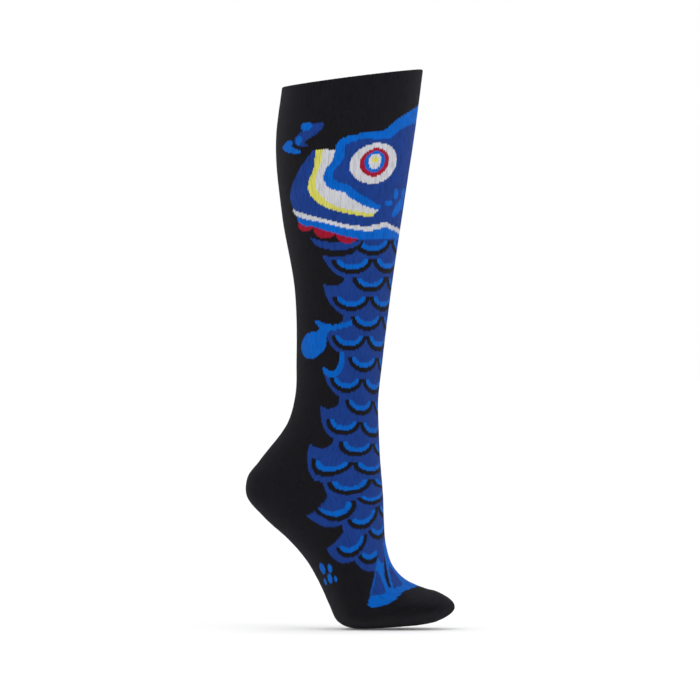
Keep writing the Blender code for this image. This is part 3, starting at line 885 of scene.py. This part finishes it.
class SOCK_OT_heel(Knitter, Operator):
    """Knit the heel pocket"""
    bl_idname = "sock.heel"
    bl_label = "Heel"

    def make(self, fabric, places, palette):
        turns = needle_turns([HEEL_COURSE], places, fabric.needles)[0]
        first = int(math.floor(np.interp(math.pi / 2, turns, places) * 2))
        places = places[first:len(places) - first + 1]
        turns = needle_turns([HEEL_COURSE], places, fabric.needles)[0]
        share = np.linspace(0, 1, HEEL_ROWS)[:, None]
        opened = np.maximum(heel_open(turns), HEEL_CORNER_OPEN)
        top = HEEL_COURSE - HEEL_RISE * opened
        bottom = HEEL_COURSE + HEEL_REACH * opened
        down = top + (bottom - top) * share
        turns = np.broadcast_to(turns, down.shape)
        piece = knit("heel", surface(down, turns), skin(down, turns, fabric.heel_fabric), places, palette,
                     closed=False)
        raise_stitches(piece, fabric, knit_material("Reinforced black jersey", 0.92, 0.00035))
        hand_over(piece, ["heel_pocket"])


class SOCK_OT_foot(Knitter, Operator):
    """Knit the foot, which carries the tail of the picture"""
    bl_idname = "sock.foot"
    bl_label = "Foot"

    def make(self, fabric, places, palette):
        table = course_table(fabric.course_height)
        first, last = np.interp((HEEL_COURSE, TOE_COURSE), FINE_DOWN, table)
        courses = np.linspace(first, last, round(last - first) + 1)
        down = np.interp(courses, table, FINE_DOWN)

        def at_edge(rows):
            """The rows under the heel bend down round the pocket."""
            turns = needle_turns(rows, places, fabric.needles)
            follow = ((TOE_COURSE - rows) / (TOE_COURSE - HEEL_COURSE))[:, None]
            return rows[:, None] + HEEL_REACH * heel_open(turns) * follow, turns

        outer_down, turns = at_edge(down)
        inner = skin(*at_edge(every(down, 4)), fabric.fabric)
        stitch_course = np.interp((outer_down[:-1] + outer_down[1:]) / 2, FINE_DOWN, table)
        needle = np.broadcast_to(places + 0.25, stitch_course.shape)
        picture = knit_picture(needle, stitch_course, fabric.needles)
        piece = knit("foot", surface(outer_down, turns), inner, places, palette, courses, picture)
        raise_stitches(piece, fabric, knit_material("Patterned cotton and nylon foot jersey"))
        hand_over(piece, ["foot_tube"])


class SOCK_OT_toe(Knitter, Operator):
    """Knit the toe pocket, closed at the tip"""
    bl_idname = "sock.toe"
    bl_label = "Toe"

    def make(self, fabric, places, palette):
        down = np.linspace(TOE_COURSE, LENGTH, TOE_ROWS)[:-1]
        inner_down = every(down, 2)
        outer = surface(down[:, None], needle_turns(down, places, fabric.needles))
        inner_turns = needle_turns(inner_down, places, fabric.needles)
        inner = skin(inner_down[:, None], inner_turns, fabric.heel_fabric)
        tip = surface(LENGTH, 0.0)
        inside_tip = tip + (surface(TOE_COURSE, 0.0) + surface(TOE_COURSE, math.pi) - 2 * tip) * 0.012
        piece = knit("toe", outer, inner, places, palette, tips=(tip, inside_tip))
        cloth = knit_material("Reinforced black toe jersey", 0.92, 0.00035)
        raise_stitches(piece, fabric, cloth, creases=3.0)
        hand_over(piece, ["toe_pocket"])


CARRIED_ROWS = (0.0365, 0.289, 0.0031)      # first, end and spacing of the carried yarns down the leg
CARRIED_SPREAD = math.radians(119)          # how far they reach round from the front
ELASTIC_ROUNDS = 3
ELASTIC_INSET = 0.006                       # from the edges of the welt to the outermost rounds
SEAM_HALF = 0.0008


def lines_object(name, paths):
    """An object of plain edges, one line to a path."""
    points = [tuple(p) for path in paths for p in path]
    edges, start = [], 0
    for path in paths:
        edges += [(start + i, start + i + 1) for i in range(len(path) - 1)]
        start += len(path)
    mesh = bpy.data.meshes.new(name)
    mesh.from_pydata(points, edges, [])
    return place_on(name, mesh)


def below(down, turn, depth):
    """A path on the skin, at one depth under the outer face."""
    down, turn = np.broadcast_arrays(down, turn)
    return skin(down, turn, np.full(turn.shape, depth))


class SOCK_OT_yarns(Knitter, Operator):
    """Lay the carried yarns inside the leg, the elastic in the welt and the linking seam at the toe"""
    bl_idname = "sock.yarns"
    bl_label = "Yarns and Seam"

    def make(self, fabric, places, palette):
        # Carried yarns: one behind every second course of the picture.
        turn = np.linspace(-CARRIED_SPREAD, CARRIED_SPREAD, 49)
        depth = fabric.fabric + CLEARANCE + fabric.float_yarn / 2
        carried = lines_object("carried_yarns",
                               [below(down, turn, depth) for down in np.arange(*CARRIED_ROWS)])
        cloth = yarn_material("Blue nylon pattern yarn", palette[ROYAL].tolist(), 0.8, 0.2, 900.0)
        grow(carried, strand_tree(), {"Yarn Radius": fabric.float_yarn / 2, "Slack": 0.0008, "Seed": 5.0,
                                      "Material": cloth})
        hand_over(carried, ["float_yarns"])
        # Elastic: rounds inside the fold of the welt.
        rounds = np.linspace(0, ELASTIC_ROUNDS * 2 * math.pi, ELASTIC_ROUNDS * 72 + 1)
        down = ELASTIC_INSET + (WELT_DEPTH - 2 * ELASTIC_INSET) * np.linspace(0, 1, len(rounds))
        depth = fabric.welt_fabric + fabric.elastic_yarn / 2 + CLEARANCE
        elastic = lines_object("elastic", [below(down, rounds, depth)])
        rubber = yarn_material("Covered elastane yarn", linear("#38363a"), 0.7, 0.1, 2500.0)
        grow(elastic, strand_tree(), {"Yarn Radius": fabric.elastic_yarn / 2, "Slack": 0.0, "Seed": 1.0,
                                      "Material": rubber})
        hand_over(elastic, ["welt_elastic"])
        # Linking seam: across the top of the toe, on the inside.
        turn = np.linspace(-math.pi / 2, math.pi / 2, 61)
        depth = fabric.heel_fabric + CLEARANCE + SEAM_HALF
        seam = lines_object("toe_linking", [below(TOE_COURSE, turn, depth)])
        thread = yarn_material("Black nylon linking yarn", palette[BLACK].tolist(), 0.8, 0.2, 1500.0)
        grow(seam, seam_tree(), {"Stitch Spacing": 0.0011, "Yarn Radius": 0.00028, "Loop Radius": 0.0005,
                                 "Material": thread})
        hand_over(seam, ["toe_seam"])


FLOOR_REACH = 60            # far enough that its edge is out of sight
VIEW_DEPTH = 200            # past the far edge of the floor
FLOOR_GAP = 0.0004          # under the lowest point of the sock


class SOCK_OT_stage(Operator):
    """Set up the camera, the floor and the studio light"""
    bl_idname = "sock.stage"
    bl_label = "Stage"

    def execute(self, context):
        scene = context.scene
        stage = scene.sock_stage
        middle = (CAD_LOW + CAD_HIGH) / 2
        camera = bpy.data.objects.new("camera", bpy.data.cameras.new("camera"))
        camera.data.lens = stage.focal_length
        distance = stage.view_width * stage.focal_length / camera.data.sensor_width
        camera.location = (stage.aim[0], -distance, stage.aim[2])
        camera.rotation_euler = (math.pi / 2, 0, 0)
        camera.data.clip_end = VIEW_DEPTH
        scene.collection.objects.link(camera)
        scene.camera = camera
        world = bpy.data.worlds.new("studio")
        world.use_nodes = True
        sky = world.node_tree.nodes["Background"]
        sky.inputs["Color"].default_value = (1.0, 1.0, 1.0, 1.0)
        sky.inputs["Strength"].default_value = stage.daylight
        scene.world = world
        scene.view_settings.view_transform = "Standard"
        for name, place, size, power in (("key", (1.1, -1.5, 0.5), 1.2, stage.key_power),
                                         ("fill", (-1.6, -1.1, 0.2), 1.4, stage.key_power * 0.35)):
            light = bpy.data.objects.new(name, bpy.data.lights.new(name, "AREA"))
            light.data.size = size
            light.data.energy = power
            light.location = place
            light.rotation_euler = (middle - light.location).to_track_quat("-Z", "Y").to_euler()
            scene.collection.objects.link(light)
        floor = bpy.data.meshes.new("floor")
        ground = CAD_LOW.z - FLOOR_GAP
        floor.from_pydata([(x * FLOOR_REACH, y * FLOOR_REACH, ground)
                           for x, y in ((-1, -1), (1, -1), (1, 1), (-1, 1))], [], [(0, 1, 2, 3)])
        floor = place_on("floor", floor)
        paper, _, _ = new_material("White studio paper", {
            "Base Color": (0.95, 0.95, 0.95, 1.0), "Roughness": 0.9,
            "Emission Color": (1.0, 1.0, 1.0, 1.0), "Emission Strength": 0.08})
        floor.data.materials.append(paper)
        return {"FINISHED"}


class SOCK_PT_panel(Panel):
    """Lists the sizes, the colours and the pieces"""
    bl_idname = "SOCK_PT_panel"
    bl_label = "Knee-high Sock"
    bl_space_type = "VIEW_3D"
    bl_region_type = "UI"
    bl_category = "Sock"

    def draw(self, context):
        for group in (context.scene.sock_fabric, context.scene.sock_colours, context.scene.sock_stage):
            box = self.layout.box()
            for name in group.bl_rna.properties.keys():
                if name not in ("rna_type", "name"):
                    box.prop(group, name)
        for operator in PIECES:
            self.layout.operator(operator.bl_idname)


PIECES = (SOCK_OT_stage, SOCK_OT_welt, SOCK_OT_leg, SOCK_OT_heel, SOCK_OT_foot, SOCK_OT_toe, SOCK_OT_yarns)
CLASSES = (SockFabric, SockColours, SockStage, *PIECES, SOCK_PT_panel)


def register():
    for cls in CLASSES:
        bpy.utils.register_class(cls)
    bpy.types.Scene.sock_fabric = PointerProperty(type=SockFabric)
    bpy.types.Scene.sock_colours = PointerProperty(type=SockColours)
    bpy.types.Scene.sock_stage = PointerProperty(type=SockStage)


def unregister():
    del bpy.types.Scene.sock_stage
    del bpy.types.Scene.sock_colours
    del bpy.types.Scene.sock_fabric
    for cls in reversed(CLASSES):
        bpy.utils.unregister_class(cls)


def main():
    register()
    for name in ("stage", "welt", "leg", "heel", "foot", "toe", "yarns"):
        getattr(bpy.ops.sock, name)()


if __name__ == "__main__":
    main()
